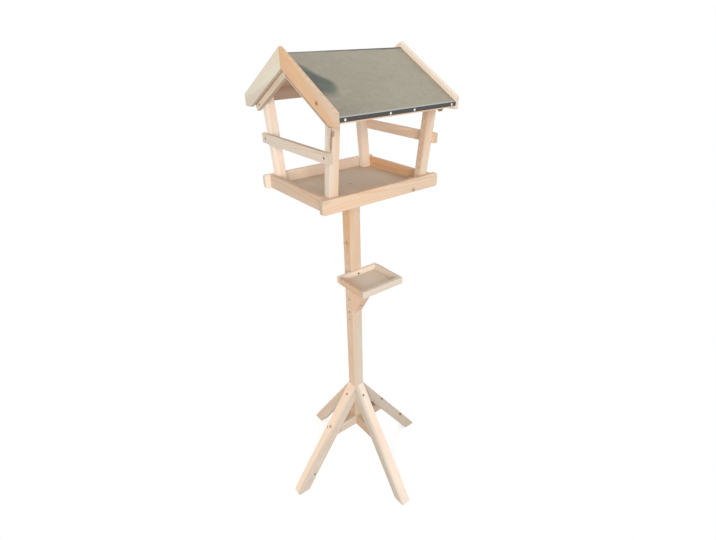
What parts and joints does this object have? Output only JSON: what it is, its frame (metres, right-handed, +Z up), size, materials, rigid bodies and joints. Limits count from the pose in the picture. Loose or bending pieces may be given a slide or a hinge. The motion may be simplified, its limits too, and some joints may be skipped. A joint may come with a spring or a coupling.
{
  "type": "bird table",
  "caption": "Pine bird table with a gabled feeding house, a folded zinc roof, a small side tray and a braced post on sloping legs.",
  "frame": {"origin": "on the ground, under the middle of the post", "axes": "+Z up, +X along the roof's ridge, the small tray on the -Y side of the post"},
  "size_m": [0.628, 0.628, 1.5469],
  "materials": {
    "pine": "planed, untreated",
    "plywood": "raw panel",
    "zinc": "weathered sheet, soft sheen",
    "steel": "dull plated screws"
  },
  "bodies": {
    "root": {"bargeboard_left_back": "pine", "bargeboard_left_front": "pine", "bargeboard_right_back": "pine", "bargeboard_right_front": "pine", "brace_back": "pine", "brace_front": "pine", "brace_left": "pine", "brace_right": "pine", "brace_screw_back": "steel", "brace_screw_front": "steel", "brace_screw_left": "steel", "brace_screw_right": "steel", "house_post_left_back": "pine", "house_post_left_front": "pine", "house_post_right_back": "pine", "house_post_right_front": "pine", "joint_screw_1": "steel", "joint_screw_2": "steel", "joint_screw_3": "steel", "leg_back": "pine", "leg_front": "pine", "leg_left": "pine", "leg_right": "pine", "leg_screw_back": "steel", "leg_screw_front": "steel", "leg_screw_left": "steel", "leg_screw_right": "steel", "post_lower": "pine", "post_upper": "pine", "rafter_left_back": "pine", "rafter_left_front": "pine", "rafter_right_back": "pine", "rafter_right_front": "pine", "rafter_screw_left_back": "steel", "rafter_screw_left_front": "steel", "rafter_screw_right_back": "steel", "rafter_screw_right_front": "steel", "rail_left": "pine", "rail_right": "pine", "rail_screw_left_back": "steel", "rail_screw_left_front": "steel", "rail_screw_right_back": "steel", "rail_screw_right_front": "steel", "roof_panel_back": "plywood", "roof_panel_front": "plywood", "roof_sheet": "zinc", "small_tray_back_board": "pine", "small_tray_floor": "plywood", "small_tray_front_board": "pine", "small_tray_left_board": "pine", "small_tray_right_board": "pine", "small_tray_screw": "steel", "strut_screw": "steel", "tray_back_board": "pine", "tray_floor": "plywood", "tray_front_board": "pine", "tray_left_board": "pine", "tray_right_board": "pine", "tray_screw": "steel", "tray_strut": "pine"}
  },
  "joints": []
}
